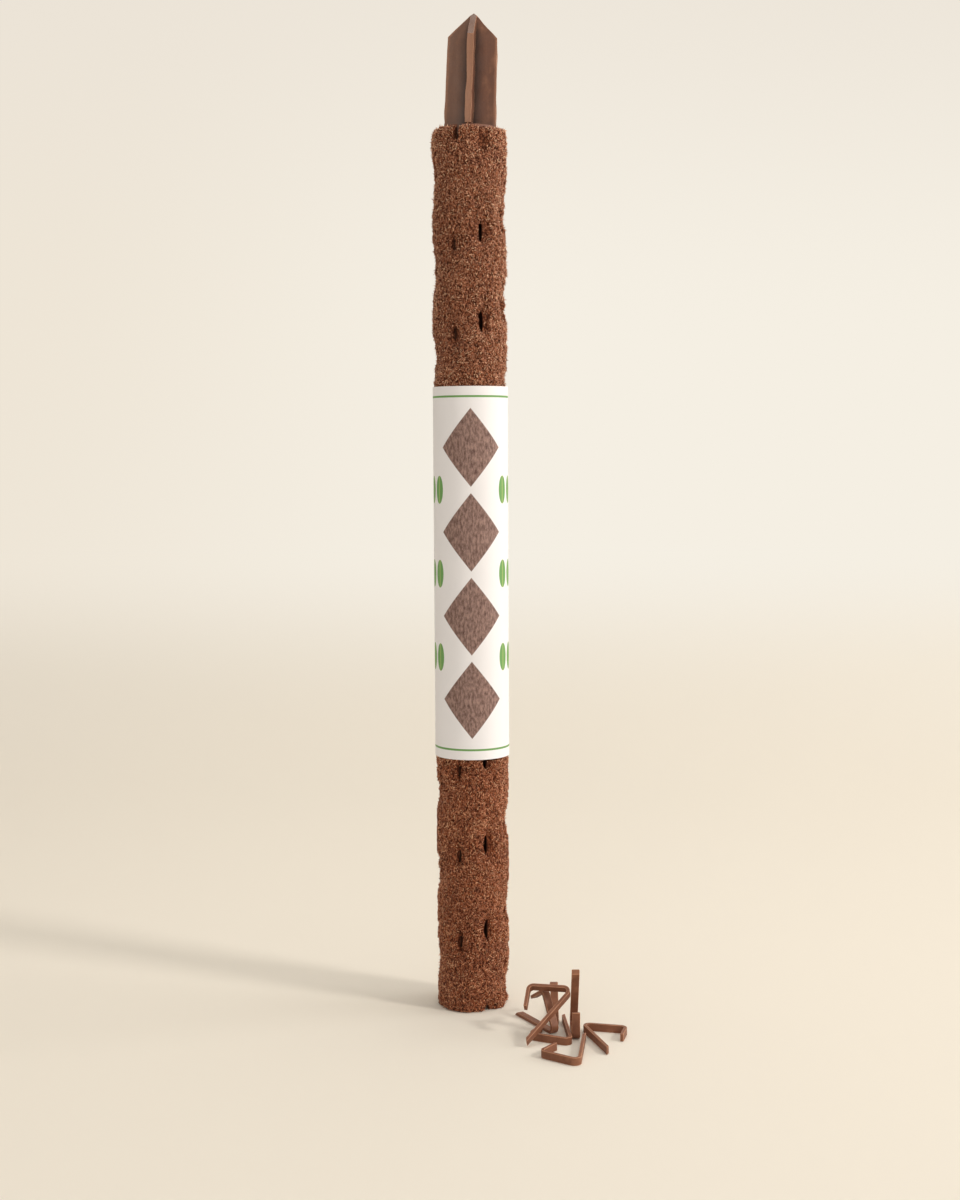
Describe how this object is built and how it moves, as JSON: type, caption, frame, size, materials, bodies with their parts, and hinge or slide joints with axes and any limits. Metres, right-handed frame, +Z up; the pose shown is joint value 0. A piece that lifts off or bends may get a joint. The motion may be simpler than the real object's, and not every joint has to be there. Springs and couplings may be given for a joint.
{
  "type": "moss pole",
  "caption": "Hollow slotted plant pole in a coir sleeve, with a pull-out cross-finned ground spike, a sliding paper band and loose bent-strip plant clips.",
  "frame": {"origin": "on the pole's axis, in the plane of the floor that its open end stands on", "axes": "+Z up along the pole towards the ground spike; -Y is the front that the picture shows; the clips lie on the +X, -Y side"},
  "size_m": [0.112, 0.138, 0.5985],
  "materials": {
    "tube_plastic": "matte brown moulded bioplastic",
    "coir": "pressed short coir fibre, rough and fuzzy",
    "spike_plastic": "semi-matte brown moulded bioplastic",
    "band_paper": "smooth white printed paper",
    "clip_plastic": "matte brown bent bioplastic strip"
  },
  "bodies": {
    "pole": {"core_tube": "tube_plastic", "coir_sleeve": "coir"},
    "spike": {"ground_spike": "spike_plastic"},
    "band": {"paper_band": "band_paper"},
    "loose_clip_1": {"clip_1": "clip_plastic"},
    "loose_clip_2": {"clip_2": "clip_plastic"},
    "loose_clip_3": {"clip_3": "clip_plastic"},
    "loose_clip_4": {"clip_4": "clip_plastic"},
    "loose_clip_5": {"clip_5": "clip_plastic"},
    "loose_clip_6": {"clip_6": "clip_plastic"}
  },
  "joints": [
    {"name": "spike_pull", "type": "slide", "parent": "pole", "child": "spike", "axis": [0.0367, 0, 0.9993], "range_m": [0, 0.06]},
    {"name": "band_slide", "type": "slide", "parent": "pole", "child": "band", "axis": [0, 0, 1], "range_m": [-0.155, 0.45]},
    {"name": "clip_1_lift", "type": "slide", "parent": "pole", "child": "loose_clip_1", "axis": [0, 0, 1], "range_m": [0, 0.1]},
    {"name": "clip_2_lift", "type": "slide", "parent": "pole", "child": "loose_clip_2", "axis": [0, 0, 1], "range_m": [0, 0.1]},
    {"name": "clip_3_lift", "type": "slide", "parent": "pole", "child": "loose_clip_3", "axis": [0, 0, 1], "range_m": [0, 0.1]},
    {"name": "clip_4_lift", "type": "slide", "parent": "pole", "child": "loose_clip_4", "axis": [0, 0, 1], "range_m": [0, 0.1]},
    {"name": "clip_5_lift", "type": "slide", "parent": "pole", "child": "loose_clip_5", "axis": [0, 0, 1], "range_m": [0, 0.1]},
    {"name": "clip_6_lift", "type": "slide", "parent": "pole", "child": "loose_clip_6", "axis": [0, 0, 1], "range_m": [0, 0.1]}
  ]
}
